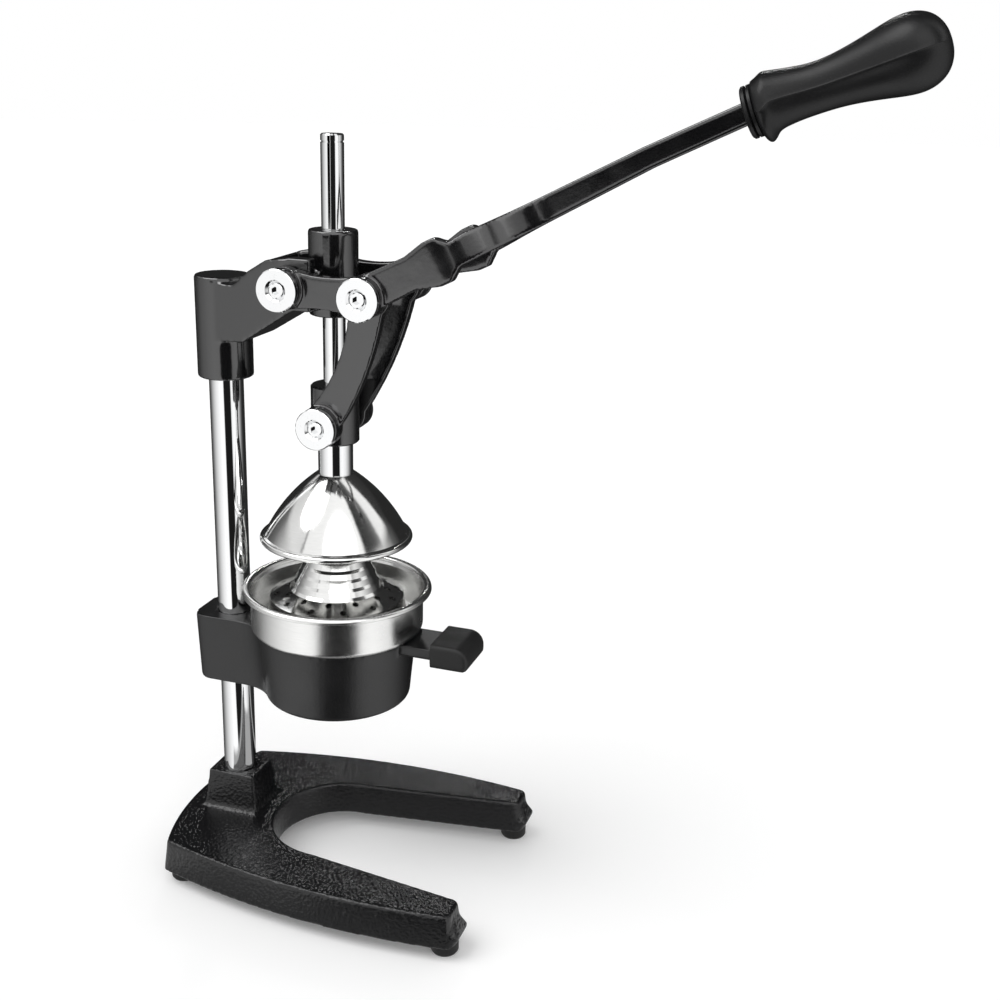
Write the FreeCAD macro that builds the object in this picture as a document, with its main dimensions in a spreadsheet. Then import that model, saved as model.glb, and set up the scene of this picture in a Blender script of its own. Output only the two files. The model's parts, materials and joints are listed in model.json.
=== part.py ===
import FreeCAD, Part
import math
import os
import Sketcher

# Driving dimensions of the press, in millimetres and degrees. Heights (names ending in _z) are
# measured from the counter. The press axis is X = Y = 0, the lever and the base legs point to -Y.
SIZES = {
    # base casting
    "base_top_z": 31.5,
    "base_under_z": 9.0,
    "base_draft": 7.0,
    "leg_tip_reach": 112.0,
    "leg_tip_outer": 82.5,
    "leg_tip_inner": 62.5,
    "leg_side_radius": 495.0,
    "base_rear_reach": 97.5,
    "base_rear_half": 67.5,
    "base_rear_radius": 179.0,
    "arch_centre": -0.5,
    "arch_radius": 47.0,
    "leg_ridge_reach": 118.5,
    "leg_ridge_z": 16.0,
    "leg_ridge_outer": 83.8,
    "leg_ridge_inner": 60.8,
    "leg_ridge_round": 4.0,
    "leg_ridge_root": 103.0,
    "leg_ridge_rise": 12.5,
    "leg_ridge_rake": 27.0,
    "base_corner_round": 5.0,
    "base_edge_round": 1.6,
    # column socket of the base
    "socket_top_z": 59.0,
    "socket_half": 14.6,
    "socket_depth_half": 17.0,
    "socket_draft": 6.0,
    "socket_floor_z": 14.0,
    "socket_foot_round": 5.0,
    # feet
    "foot_radius": 9.0,
    "foot_side": 72.3,
    "foot_front": 106.0,
    "foot_rear": 90.5,
    "foot_rear_side": 57.5,
    "foot_screw_radius": 2.5,
    "foot_screw_head": 4.5,
    "foot_screw_sink": 4.0,
    "foot_screw_length": 14.0,
    # column
    "column_y": 77.0,
    "column_radius": 11.1,
    "column_wall": 3.0,
    "column_top_z": 403.0,
    "column_fit": 0.05,
    # set screws in the back of the castings
    "set_screw_radius": 4.0,
    "thread_gap": 0.06,
    "set_screw_key": 2.2,
    "set_screw_key_depth": 4.0,
    "base_screw_z": 45.0,
    "holder_screw_z": 155.0,
    "head_screw_z": 376.0,
    # bowl holder
    "holder_top_z": 179.3,
    "holder_under_z": 131.3,
    "ring_radius": 53.0,
    "ring_wall": 8.0,
    "holder_draft": 5.5,
    "clamp_half": 20.0,
    "clamp_rear": 99.0,
    "clamp_draft": 1.8,
    "clamp_corner_round": 9.0,
    "waist_round": 29.5,
    "holder_edge_round": 2.5,
    "ledge_depth": 1.5,
    "ledge_width": 2.5,
    "tang_half": 15.8,
    "tang_thickness": 7.5,
    "tang_reach": 86.0,
    "tip_hold": 13.5,
    "tip_beyond": 12.0,
    "tip_half": 18.2,
    "tip_below": 4.2,
    "tip_above": 4.6,
    "tip_nose_round": 9.5,
    "tip_low_round": 4.0,
    "tip_side_round": 2.6,
    # bowl, strainer and funnel
    "sheet": 1.0,
    "bowl_radius": 57.0,
    "bowl_rim_z": 209.3,
    "bowl_rim_radius": 62.6,
    "bowl_rim_roll": 2.9,
    "bowl_corner": 4.0,
    "outlet_radius": 13.0,
    "outlet_drop": 9.0,
    "seat_gap": 0.3,
    "strainer_flange": 50.0,
    "skirt_foot": 46.5,
    "skirt_edge": 43.0,
    "skirt_edge_rise": 22.0,
    "skirt_top": 31.0,
    "skirt_top_rise": 27.5,
    "cone_foot": 29.5,
    "cone_top": 18.5,
    "cone_top_rise": 48.5,
    "cone_rings": 4.0,
    "ring_ledge": 1.2,
    "cone_top_round": 3.5,
    "hole_radius": 2.0,
    "hole_low_ring": 39.5,
    "hole_high_ring": 33.5,
    "hole_count": 12.0,
    "funnel_spout": 9.0,
    "funnel_drop": 40.0,
    "funnel_cone_drop": 26.0,
    # head casting
    "head_radius": 17.9,
    "head_top_z": 408.2,
    "head_under_z": 342.4,
    "neck_under_z": 368.5,
    "neck_half": 28.4,
    "neck_end_half": 17.0,
    "neck_front": 3.0,
    "neck_heel_y": 53.0,
    "neck_heel_z": 370.0,
    "neck_toe_y": 15.0,
    "neck_toe_z": 394.0,
    "neck_brow_y": 34.0,
    "neck_brow_z": 423.0,
    "neck_crown_z": 426.0,
    "neck_dip_y": 47.5,
    "neck_dip_z": 415.0,
    "neck_step": 3.0,
    "neck_pocket_half": 19.0,
    "neck_pocket_depth": 9.0,
    "neck_pocket_rear": 33.0,
    "guide_radius": 15.4,
    "guide_top_z": 441.3,
    "guide_under_z": 388.8,
    "head_edge_round": 1.2,
    # plunger
    "rod_radius": 7.15,
    "rod_top_z": 497.6,
    "rod_fit": 0.08,
    "rod_groove_drop": 4.0,
    "rod_groove_width": 1.2,
    "rod_groove_depth": 0.6,
    "crosshead_radius": 15.3,
    "crosshead_top_z": 344.5,
    "crosshead_under_z": 307.3,
    "sleeve_radius": 11.2,
    "dome_top_z": 286.5,
    "dome_rim_z": 243.2,
    "dome_shoulder": 12.2,
    "dome_rim_radius": 49.6,
    "dome_rim_roll": 2.0,
    "dome_radius": 112.0,
    "dome_screw_radius": 3.0,
    "dome_screw_head": 8.0,
    "dome_screw_head_height": 5.0,
    "dome_screw_length": 16.0,
    "key_radius": 2.6,
    "key_depth": 3.0,
    # pivots
    "hinge_y": 16.6,
    "hinge_z": 409.0,
    "stud_reach": 45.5,
    "stud_drop": 25.0,
    "crosspin_z": 322.0,
    "pin_radius": 5.0,
    "pin_fit": 0.05,
    "eye_radius": 13.0,
    "boss_height": 5.5,
    "cap_radius": 13.0,
    "cap_thickness": 3.3,
    "cap_edge": 0.6,
    "cap_mouth": 6.7,
    "cap_mouth_depth": 1.6,
    "cap_screw_head": 4.7,
    "cap_screw_head_height": 1.9,
    "cap_screw_radius": 3.0,
    "cap_screw_length": 12.0,
    "cap_screw_sink": 0.5,
    "cap_screw_gap": 0.15,
    "side_gap": 0.3,
    # lever casting, in its own frame: out along the bar, and up from it
    "lever_tilt": 27.0,
    "arm_outer": 37.5,
    "arm_inner": 29.0,
    "waist_radius": 84.0,
    "arm_top": -13.6,
    "arm_under": -33.8,
    "knuckle_reach": 98.0,
    "knuckle_half": 7.0,
    "knuckle_top": -10.6,
    "knuckle_under": -37.8,
    "knuckle_run": 11.0,
    "arm_straight": 96.0,
    "fork_middle": 131.0,
    "fork_middle_half": 21.0,
    "fork_end": 166.0,
    "fork_radius": 46.0,
    "slot_end": 150.0,
    "slot_middle_half": 12.0,
    "bar_half": 6.0,
    "bar_root": 118.0,
    "bar_root_top": -15.2,
    "bar_root_low": 109.0,
    "bar_root_under": -31.6,
    "bar_knee": 225.0,
    "bar_knee_top": -13.8,
    "bar_knee_under": -26.6,
    "bar_neck": 284.0,
    "bar_neck_top": -15.0,
    "bar_neck_under": -27.2,
    "tang_end": 340.0,
    "tang_droop": 5.0,
    "tang_slim": 1.0,
    # connecting rods
    "link_outer_high": 27.6,
    "link_inner_high": 19.6,
    "link_outer_low": 22.6,
    "link_inner_low": 16.2,
    "link_eye": 13.2,
    "link_half_front": 10.8,
    "link_half_back": 13.1,
    "link_bow": 222.0,
    "link_bow_inner": 111.0,
    "link_cap_boss": 5.2,
    # grip
    "collar_start": 283.0,
    "collar_length": 6.0,
    "collar_radius": 14.4,
    "collar_bore": 9.2,
    "collar_groove": 1.4,
    "collar_groove_depth": 1.6,
    "grip_droop": 5.0,
    "grip_start_radius": 15.6,
    "grip_lip_radius": 18.6,
    "grip_lip_at": 6.5,
    "grip_neck_radius": 13.5,
    "grip_neck_at": 38.0,
    "grip_swell_radius": 18.2,
    "grip_swell_at": 68.0,
    "grip_swell_round": 45.0,
    "grip_bulb_radius": 20.6,
    "grip_bulb_at": 81.0,
    "grip_flank_radius": 115.0,
    "grip_bore_fit": 0.25,
}

doc = FreeCAD.newDocument("citrus_press")
sheet = doc.addObject("Spreadsheet::Sheet", "Sizes")
for row, (name, number) in enumerate(SIZES.items(), start=1):
    sheet.set(f"A{row}", name)
    sheet.set(f"B{row}", str(number))
    sheet.setAlias(f"B{row}", name)
doc.recompute()

NODES = []


class Size:
    """A dimension known both as a number and as the sheet expression that gives it."""

    def __init__(self, number, text):
        self.number = number
        self.text = text

    def __add__(self, other):
        return Size(self.number + as_size(other).number, f"({self.text} + {as_size(other).text})")

    def __sub__(self, other):
        return Size(self.number - as_size(other).number, f"({self.text} - {as_size(other).text})")

    def __mul__(self, other):
        return Size(self.number * as_size(other).number, f"({self.text} * {as_size(other).text})")

    def __truediv__(self, other):
        return Size(self.number / as_size(other).number, f"({self.text} / {as_size(other).text})")

    def __neg__(self):
        return Size(-self.number, f"(-1 * {self.text})")


class SheetSizes:
    """Gives each cell of the sheet as a Size, by its alias."""

    def __getattr__(self, alias):
        return Size(SIZES[alias], f"Sizes.{alias}")


def as_size(value):
    return value if isinstance(value, Size) else Size(float(value), f"({float(value)})")


def along(angle, length):
    """The two legs of a length laid off at an angle in degrees."""
    turn = as_size(angle)
    side = as_size(length)
    cosine = Size(math.cos(math.radians(turn.number)), f"cos({turn.text} * 1 deg)")
    sine = Size(math.sin(math.radians(turn.number)), f"sin({turn.text} * 1 deg)")
    return side * cosine, side * sine


S = SheetSizes()


def new_body(label):
    body = doc.addObject("PartDesign::Body", label)
    body.Label = label
    return body


def new_sketch(body, role, lift=None):
    """A sketch on one of the body's own origin planes, lifted off it by a size."""
    plane = next(item for item in body.Origin.OriginFeatures if item.Role == role)
    sketch = body.newObject("Sketcher::SketchObject", f"{body.Name}_sketch")
    sketch.AttachmentSupport = (plane, [""])
    sketch.MapMode = "FlatFace"
    if lift is not None:
        sketch.setExpression("AttachmentOffset.Base.z", as_size(lift).text)
    return sketch


def bind(sketch, kind, *reference):
    """Add one dimension to a sketch and tie it to its size, which comes last."""
    size = as_size(reference[-1])
    index = sketch.addConstraint(Sketcher.Constraint(kind, *reference[:-1], size.number))
    sketch.setExpression(f"Constraints[{index}]", size.text)


def side_curve(start, end, radius):
    """A straight side, or an arc that bulges to the right of the travel where radius is above 0."""
    first = FreeCAD.Vector(start[0].number, start[1].number, 0)
    last = FreeCAD.Vector(end[0].number, end[1].number, 0)
    if radius is None:
        return Part.LineSegment(first, last), 1, 2
    chord = last - first
    left = FreeCAD.Vector(-chord.y, chord.x, 0).normalize()
    bend = abs(radius.number)
    height = math.sqrt(max(bend ** 2 - (chord.Length / 2) ** 2, 0.0))
    turn = 1 if radius.number > 0 else -1
    centre = (first + last) * 0.5 + left * (height * turn)
    circle = Part.Circle(centre, FreeCAD.Vector(0, 0, 1), bend)
    begin, finish = (first, last) if turn > 0 else (last, first)
    arc = Part.ArcOfCircle(circle, circle.parameter(begin), circle.parameter(finish))
    return (arc, 1, 2) if turn > 0 else (arc, 2, 1)


def outline(sketch, corners, arcs=None):
    """Draw a closed outline; arcs gives the radius of the side that leaves a corner."""
    arcs = arcs or {}
    corners = [(as_size(across), as_size(up)) for across, up in corners]
    ends = []
    for number, start in enumerate(corners):
        radius = as_size(arcs[number]) if number in arcs else None
        curve, first, last = side_curve(start, corners[(number + 1) % len(corners)], radius)
        ends.append((sketch.addGeometry(curve, False), first, last, radius))
    for number, (index, first, last, radius) in enumerate(ends):
        following, following_first = ends[(number + 1) % len(ends)][:2]
        sketch.addConstraint(Sketcher.Constraint("Coincident", index, last, following, following_first))
    for (index, first, last, radius), (across, up) in zip(ends, corners):
        bind(sketch, "DistanceX", -1, 1, index, first, across)
        bind(sketch, "DistanceY", -1, 1, index, first, up)
        if radius is not None:
            size = radius if radius.number > 0 else -radius
            bind(sketch, "Radius", index, size)


def circle(sketch, across, up, radius):
    across, up, radius = as_size(across), as_size(up), as_size(radius)
    centre = FreeCAD.Vector(across.number, up.number, 0)
    index = sketch.addGeometry(Part.Circle(centre, FreeCAD.Vector(0, 0, 1), radius.number), False)
    bind(sketch, "Radius", index, radius)
    bind(sketch, "DistanceX", -1, 1, index, 3, across)
    bind(sketch, "DistanceY", -1, 1, index, 3, up)


def box(left, bottom, right, top):
    return [(left, bottom), (right, bottom), (right, top), (left, top)]


def pad(body, sketch, length, reverse=False, symmetric=False, taper=None):
    feature = body.newObject("PartDesign::Pad", f"{body.Name}_pad")
    feature.Profile = sketch
    feature.setExpression("Length", as_size(length).text)
    feature.Reversed = reverse
    if symmetric:
        feature.SideType = "Symmetric"
    if taper is not None:
        feature.setExpression("TaperAngle", as_size(taper).text)
    return feature


def pocket(body, sketch, length=None, reverse=False):
    """Cut a sketch out: right through both ways without a length."""
    feature = body.newObject("PartDesign::Pocket", f"{body.Name}_pocket")
    feature.Profile = sketch
    feature.Reversed = reverse
    if length is None:
        feature.Type = "ThroughAll"
        feature.SideType = "Symmetric"
    else:
        feature.setExpression("Length", as_size(length).text)
    return feature


def revolve(body, sketch):
    feature = body.newObject("PartDesign::Revolution", f"{body.Name}_turn")
    feature.Profile = sketch
    feature.ReferenceAxis = (sketch, ["V_Axis"])
    feature.Angle = 360
    return feature


def dress(body, kind, size, chosen):
    """Fillet or chamfer the edges of the body that the test picks."""
    doc.recompute()
    base = body.Tip
    names = [f"Edge{n}" for n, edge in enumerate(base.Shape.Edges, start=1) if chosen(edge)]
    feature = body.newObject(f"PartDesign::{kind}", f"{body.Name}_edges")
    feature.Base = (base, names)
    feature.setExpression("Radius" if kind == "Fillet" else "Size", as_size(size).text)
    doc.recompute()
    return feature


def middle(edge):
    return edge.valueAt((edge.FirstParameter + edge.LastParameter) / 2)


def level_at(edge, height):
    """Whether an edge lies at one height."""
    return all(abs(point.z - height) < 0.01 for point in (*[v.Point for v in edge.Vertexes], middle(edge)))


def upright(edge):
    """Whether an edge runs up the part, straight and steep."""
    if edge.Curve.TypeId != "Part::GeomLine" or len(edge.Vertexes) < 2:
        return False
    run = edge.Vertexes[1].Point - edge.Vertexes[0].Point
    return abs(run.z) > 0.9 * run.Length


def move(item, across=0, back=0, up=0, axis=None, angle=0):
    """Place a body by sizes, turned about an axis by an angle in degrees."""
    turn = as_size(angle)
    if axis is not None:
        item.Placement.Rotation = FreeCAD.Rotation(FreeCAD.Vector(*axis), turn.number)
    for letter, size in (("x", across), ("y", back), ("z", up)):
        item.setExpression(f"Placement.Base.{letter}", as_size(size).text)


def keep(item, label=None):
    """List an object as one of the press's pieces."""
    if label is not None:
        item.Label = label
    NODES.append(item)
    return item


def mirror(source, label):
    """The same piece on the other side of the press."""
    copy = doc.addObject("Part::Mirroring", label)
    copy.Source = source
    copy.Normal = FreeCAD.Vector(1, 0, 0)
    copy.Label = label
    return copy


def group(label, items):
    compound = doc.addObject("Part::Compound", label)
    compound.Links = items
    return keep(compound, label)


def turned(label, corners, arcs=None):
    """A body of revolution about its own Z; corners are (radius, height)."""
    body = new_body(label)
    sketch = new_sketch(body, "XZ_Plane")
    outline(sketch, corners, arcs)
    revolve(body, sketch)
    return body


def key_recess(body, lift, radius, depth):
    """A hexagon socket cut down into a screw's head."""
    sketch = new_sketch(body, "XY_Plane", lift)
    points = [along(60 * step, radius) for step in range(6)]
    outline(sketch, points)
    pocket(body, sketch, depth)


def base_casting():
    body = new_body("base")
    plan = new_sketch(body, "XY_Plane", S.base_top_z)
    corners = [
        (S.leg_tip_outer, -S.leg_tip_reach),
        (S.base_rear_half, S.base_rear_reach),
        (-S.base_rear_half, S.base_rear_reach),
        (-S.leg_tip_outer, -S.leg_tip_reach),
        (-S.leg_tip_inner, -S.leg_tip_reach),
        (-S.arch_radius, S.arch_centre),
        (0, S.arch_centre + S.arch_radius),
        (S.arch_radius, S.arch_centre),
        (S.leg_tip_inner, -S.leg_tip_reach),
    ]
    arcs = {0: S.leg_side_radius, 1: S.base_rear_radius, 2: S.leg_side_radius,
            5: -S.arch_radius, 6: -S.arch_radius}
    outline(plan, corners, arcs)
    pad(body, plan, S.base_top_z - S.base_under_z, reverse=True, taper=S.base_draft)
    socket = new_sketch(body, "XY_Plane", S.socket_top_z)
    outline(socket, box(-S.socket_half, S.column_y - S.socket_depth_half,
                        S.socket_half, S.column_y + S.socket_depth_half))
    pad(body, socket, S.socket_top_z - S.base_top_z + 4, reverse=True, taper=S.socket_draft)
    dress(body, "Fillet", S.base_corner_round, lambda edge: level_span(edge, 20) and
          abs(middle(edge).x) > S.arch_radius.number + 5)
    dress(body, "Fillet", S.socket_foot_round, lambda edge: level_at(edge, S.base_top_z.number)
          and abs(middle(edge).x) < S.socket_half.number + 4
          and abs(middle(edge).y - S.column_y.number) < S.socket_depth_half.number + 5)
    dress(body, "Fillet", S.base_edge_round, lambda edge: level_at(edge, S.base_top_z.number)
          and abs(middle(edge).y - S.column_y.number) > S.socket_depth_half.number + 6)
    for turn in (1, -1):
        leg_ridge(body, turn, S.leg_ridge_rise, False)
        leg_ridge(body, turn, S.leg_ridge_z - S.base_under_z, True)
    bore = new_sketch(body, "XY_Plane", S.socket_floor_z)
    circle(bore, 0, S.column_y, S.column_radius + S.column_fit)
    pocket(body, bore, S.socket_top_z - S.socket_floor_z + 1, reverse=True)
    screw_bore(body, S.base_screw_z, S.column_y + S.socket_depth_half + 6)
    holes = new_sketch(body, "XY_Plane", S.base_under_z)
    for across, back in foot_places():
        circle(holes, across, back, S.foot_screw_radius + S.thread_gap)
    pocket(body, holes, S.foot_screw_length - S.base_under_z + 2, reverse=True)
    return keep(body)


def leg_ridge(body, turn, height, downward):
    """One half of the ridge across a leg's tip, raked back from the ridge line."""
    ridge = new_sketch(body, "XY_Plane", S.leg_ridge_z)
    corners = [
        (S.leg_ridge_outer * turn, -S.leg_ridge_root),
        (S.leg_ridge_inner * turn, -S.leg_ridge_root),
        (S.leg_ridge_inner * turn, S.leg_ridge_round - S.leg_ridge_reach),
        ((S.leg_ridge_inner + S.leg_ridge_round) * turn, -S.leg_ridge_reach),
        ((S.leg_ridge_outer - S.leg_ridge_round) * turn, -S.leg_ridge_reach),
        (S.leg_ridge_outer * turn, S.leg_ridge_round - S.leg_ridge_reach),
    ]
    bend = S.leg_ridge_round * turn
    outline(ridge, corners, {2: bend, 4: bend})
    pad(body, ridge, height, reverse=downward, taper=-S.leg_ridge_rake)


def level_span(edge, least):
    """Whether an edge rises by at least so much."""
    heights = [vertex.Point.z for vertex in edge.Vertexes]
    return len(heights) > 1 and max(heights) - min(heights) > least


def screw_bore(body, height, back):
    """The threaded hole for a set screw, from the back of a casting to the column."""
    sketch = new_sketch(body, "XZ_Plane", -(S.column_y + S.column_radius - 1))
    circle(sketch, 0, height, S.set_screw_radius + S.thread_gap)
    pocket(body, sketch, back - S.column_y - S.column_radius + 1)


def foot_places():
    return [(S.foot_side * side, back) for side, back in
            ((-1, -S.foot_front), (1, -S.foot_front))] + [
        (S.foot_rear_side * side, S.foot_rear) for side in (-1, 1)]


def feet():
    names = ("foot_front_left", "foot_front_right", "foot_rear_left", "foot_rear_right")
    screws = []
    for label, (across, back) in zip(names, foot_places()):
        foot = turned(label, [
            (S.foot_screw_radius + 0.1, S.foot_screw_sink),
            (S.foot_screw_head + 0.3, S.foot_screw_sink),
            (S.foot_screw_head + 0.3, 0),
            (S.foot_radius - 1, 0),
            (S.foot_radius, 1.5),
            (S.foot_radius, S.base_under_z),
            (S.foot_screw_radius + 0.1, S.base_under_z),
        ])
        move(foot, across, back)
        keep(foot)
        screw = turned(f"{label}_screw", [
            (0, S.foot_screw_sink - 2.6),
            (S.foot_screw_head - 1, S.foot_screw_sink - 2.6),
            (S.foot_screw_head, S.foot_screw_sink - 1.6),
            (S.foot_screw_head, S.foot_screw_sink),
            (S.foot_screw_radius, S.foot_screw_sink),
            (S.foot_screw_radius, S.foot_screw_length),
            (0, S.foot_screw_length),
        ])
        move(screw, across, back)
        screws.append(screw)
    group("foot_screws", screws)


def column():
    body = new_body("column")
    sketch = new_sketch(body, "XY_Plane", S.socket_floor_z)
    circle(sketch, 0, 0, S.column_radius)
    circle(sketch, 0, 0, S.column_radius - S.column_wall)
    pad(body, sketch, S.column_top_z - S.socket_floor_z)
    move(body, 0, S.column_y)
    keep(body)


def set_screw(label, height, back):
    """A socket set screw that lies along Y and bears on the column."""
    length = back - S.column_y - S.column_radius - 0.05
    body = turned(label, [
        (0, 0), (S.set_screw_radius - 1, 0), (S.set_screw_radius, 1),
        (S.set_screw_radius, length - 0.6), (S.set_screw_radius - 0.6, length), (0, length)])
    key_recess(body, length, S.set_screw_key, S.set_screw_key_depth)
    move(body, 0, S.column_y + S.column_radius + 0.05, height, (1, 0, 0), -90)
    keep(body)


def bowl_holder():
    body = new_body("bowl_holder")
    height = S.holder_top_z - S.holder_under_z
    ring = new_sketch(body, "XY_Plane", S.holder_top_z)
    circle(ring, 0, 0, S.ring_radius)
    pad(body, ring, height, reverse=True, taper=-S.holder_draft)
    clamp = new_sketch(body, "XY_Plane", S.holder_top_z)
    outline(clamp, box(-S.clamp_half, S.ring_radius / 2, S.clamp_half, S.clamp_rear))
    pad(body, clamp, height, reverse=True, taper=-S.clamp_draft)
    waist_y = math.sqrt(S.ring_radius.number ** 2 - S.clamp_half.number ** 2)
    dress(body, "Fillet", S.waist_round, lambda edge: level_span(edge, 30)
          and abs(middle(edge).y - waist_y) < 8)
    dress(body, "Fillet", S.clamp_corner_round, lambda edge: level_span(edge, 30)
          and middle(edge).y > S.column_y.number)
    tang = new_sketch(body, "XY_Plane", S.holder_top_z)
    outline(tang, box(-S.tang_half, -S.tang_reach, S.tang_half, -S.ring_radius + 8))
    pad(body, tang, S.tang_thickness, reverse=True)
    dress(body, "Fillet", S.holder_edge_round, lambda edge: level_at(edge, S.holder_under_z.number))
    bore = new_sketch(body, "XY_Plane", S.holder_under_z)
    circle(bore, 0, S.column_y, S.column_radius + S.column_fit)
    circle(bore, 0, 0, S.ring_radius - S.ring_wall)
    pocket(body, bore)
    ledge = new_sketch(body, "XY_Plane", S.holder_top_z - S.ledge_depth)
    circle(ledge, 0, 0, S.ring_radius - S.ring_wall + S.ledge_width)
    pocket(body, ledge, S.ledge_depth + 1, reverse=True)
    screw_bore(body, S.holder_screw_z, S.clamp_rear + 1)
    return keep(body)


def holder_tip():
    """The soft cap pushed on the end of the holder's tang."""
    body = new_body("holder_tip")
    start = S.tang_reach - S.tip_hold
    end = S.tang_reach + S.tip_beyond
    low = S.holder_top_z - S.tang_thickness - S.tip_below
    top = S.holder_top_z + S.tip_above
    side = new_sketch(body, "YZ_Plane")
    outline(side, [
        (-start, low),
        (S.tip_low_round - end, low),
        (-end, low + S.tip_low_round),
        (-end, top - S.tip_nose_round),
        (S.tip_nose_round - end, top),
        (-start, top),
    ], {1: -S.tip_low_round, 3: -S.tip_nose_round})
    pad(body, side, S.tip_half * 2, symmetric=True)
    dress(body, "Fillet", S.tip_side_round, lambda edge: middle(edge).y < -start.number - 0.5
          and abs(abs(middle(edge).x) - S.tip_half.number) < 0.01)
    socket = new_sketch(body, "XZ_Plane", start)
    outline(socket, box(-S.tang_half, S.holder_top_z - S.tang_thickness, S.tang_half, S.holder_top_z))
    pocket(body, socket, S.tip_hold, reverse=True)
    return keep(body)


def bowl():
    floor = S.holder_top_z
    inside = S.bowl_radius - S.sheet
    roll = S.bowl_rim_roll
    lip = S.bowl_rim_radius - roll * 2
    keep(turned("bowl", [
        (S.outlet_radius, floor - S.outlet_drop),
        (S.outlet_radius + S.sheet, floor - S.outlet_drop),
        (S.outlet_radius + S.sheet, floor),
        (S.bowl_radius - S.bowl_corner, floor),
        (S.bowl_radius, floor + S.bowl_corner),
        (S.bowl_radius, S.bowl_rim_z - roll),
        (S.bowl_rim_radius - roll * 0.5, S.bowl_rim_z - roll * 1.4),
        (S.bowl_rim_radius, S.bowl_rim_z - roll),
        (S.bowl_rim_radius - roll, S.bowl_rim_z),
        (lip, S.bowl_rim_z - roll),
        (inside, S.bowl_rim_z - roll * 1.6),
        (inside, floor + S.bowl_corner),
        (S.bowl_radius - S.bowl_corner, floor + S.sheet),
        (S.outlet_radius, floor + S.sheet),
    ], {3: S.bowl_corner, 7: S.bowl_rim_roll, 8: S.bowl_rim_roll}))


def strainer():
    """The fruit cone with its strainer holes, pressed from sheet in rounded steps."""
    floor = S.holder_top_z + S.sheet
    rings = int(S.cone_rings.number)
    climb = (S.cone_top_rise - S.skirt_top_rise) / S.cone_rings
    narrow = (S.cone_foot - S.cone_top) / S.cone_rings
    outer = [
        (S.strainer_flange, floor + S.sheet),
        (S.skirt_foot + S.sheet, floor + S.sheet),
        (S.skirt_edge + S.sheet, floor + S.skirt_edge_rise),
        (S.skirt_top, floor + S.skirt_top_rise),
    ]
    for ring in range(rings):
        foot = S.cone_foot - narrow * ring
        outer.append((foot, floor + S.skirt_top_rise + climb * (ring + 0.35)))
        outer.append((foot - narrow + S.ring_ledge, floor + S.skirt_top_rise + climb * (ring + 1)))
    outer.append((S.cone_top - S.cone_top_round, floor + S.cone_top_rise + S.sheet))
    outer.append((0, floor + S.cone_top_rise + S.sheet * 1.6))
    inner = [(radius - S.sheet, height - S.sheet) for radius, height in outer[2:-1]]
    inner.append((0, outer[-1][1] - S.sheet))
    body = turned("strainer", outer + inner[::-1] + [(S.skirt_foot, floor), (S.strainer_flange, floor)])
    for ring, turn in ((S.hole_low_ring, 0), (S.hole_high_ring, 15)):
        sketch = new_sketch(body, "XY_Plane", floor + S.skirt_edge_rise - 2)
        step = 360 / S.hole_count.number
        for number in range(int(S.hole_count.number)):
            across, back = along(turn + step * number, ring)
            circle(sketch, across, back, S.hole_radius)
        pocket(body, sketch, S.cone_top_rise - S.skirt_edge_rise, reverse=True)
    keep(body)


def funnel():
    """The drip funnel that hangs in the holder under the bowl."""
    top = S.holder_top_z - S.ledge_depth
    flange = S.ring_radius - S.ring_wall + S.ledge_width - S.seat_gap
    wall = S.ring_radius - S.ring_wall - S.seat_gap - 1
    keep(turned("funnel", [
        (S.funnel_spout, top - S.funnel_drop),
        (S.funnel_spout + S.sheet, top - S.funnel_drop),
        (S.funnel_spout + S.sheet, top - S.funnel_cone_drop),
        (wall, top - S.outlet_drop),
        (wall, top),
        (flange, top),
        (flange, top + S.sheet),
        (wall - S.sheet, top + S.sheet),
        (wall - S.sheet, top - S.outlet_drop + S.sheet / 2),
        (S.funnel_spout, top - S.funnel_cone_drop + S.sheet),
    ]))


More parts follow.
